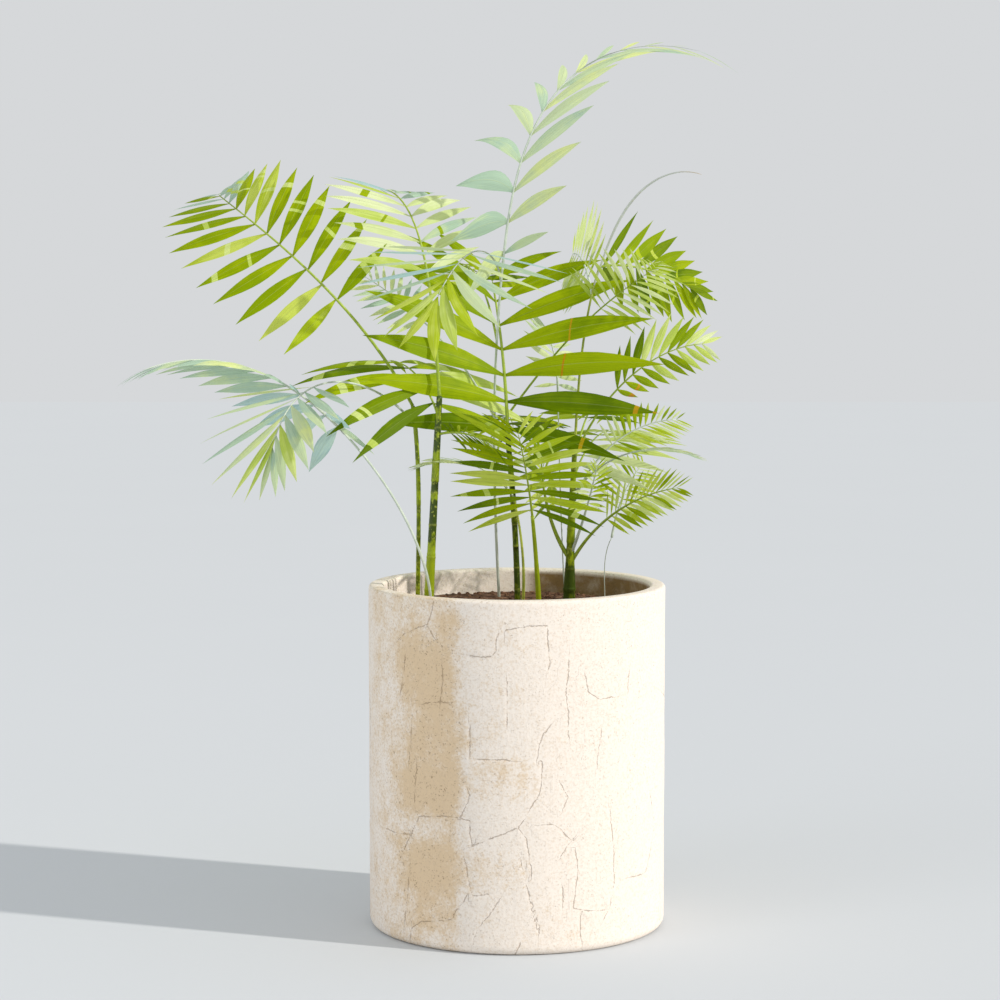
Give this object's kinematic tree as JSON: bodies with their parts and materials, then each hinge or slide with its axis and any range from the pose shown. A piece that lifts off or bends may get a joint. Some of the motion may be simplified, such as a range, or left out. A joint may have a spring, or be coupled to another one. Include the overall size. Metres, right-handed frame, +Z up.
{
  "type": "potted parlor palm",
  "caption": "Small clustering palm with slender green canes and arching feather-shaped fronds, growing from soil in a straight round cast-stone pot.",
  "frame": {"origin": "centre of the pot's flat underside, on the ground", "axes": "+Z up along the pot's axis, +X to the right of the side the plant shows first, +Y away from that side"},
  "size_m": [0.7324, 0.6336, 1.061],
  "materials": {
    "pot_stone": "matte cast stone with hairline cracks and stains",
    "soil": "matte crumbly potting soil",
    "cane_green": "smooth green cane, mottled with pale spots",
    "stem_pale": "smooth pale green leaf stalk",
    "leaf_bright": "satin yellow-green leaf",
    "leaf_lime": "satin lime leaf",
    "leaf_pale": "satin pale leaf",
    "leaf_blue": "satin blue-green leaf",
    "leaf_deep": "satin dark green leaf"
  },
  "bodies": {
    "root": {"pot": "pot_stone", "soil": "soil", "cane_left": "cane_green", "cane_left_stout": "cane_green", "stem_far_left": "stem_pale", "cane_back": "stem_pale", "cane_centre": "cane_green", "stem_centre_thin": "stem_pale", "cane_front": "cane_green", "cane_right": "cane_green", "petiole_right": "stem_pale", "stem_back_thin": "stem_pale", "stem_right_thin": "stem_pale", "frond_front": "leaf_bright", "frond_tall_foot": "leaf_blue", "frond_tall_tip": "leaf_blue", "frond_upper_left": "leaf_bright", "frond_upper_mid": "leaf_lime", "frond_centre": "leaf_blue", "frond_low_left": "leaf_blue", "frond_far_left_foot": "leaf_blue", "frond_far_left_tip": "leaf_blue", "frond_right_mid": "leaf_bright", "frond_right_low": "leaf_bright", "frond_right_pale": "leaf_pale", "frond_right_edge": "leaf_pale", "frond_right_striped": "leaf_pale", "frond_right_arch": "leaf_blue", "frond_upper_right": "leaf_lime", "frond_right_broad": "leaf_deep", "frond_right_narrow": "leaf_pale", "frond_back_narrow": "leaf_pale", "frond_front_low": "leaf_bright", "frond_inner_low": "leaf_bright", "frond_back_left": "leaf_lime", "frond_back_right": "leaf_lime", "frond_small_left": "leaf_blue", "frond_small_upper": "leaf_blue", "frond_mid_small": "leaf_deep", "frond_rear_low": "leaf_deep", "frond_rear_high": "leaf_bright", "frond_rear_right": "leaf_bright", "spear_right": "leaf_pale"}
  },
  "joints": []
}
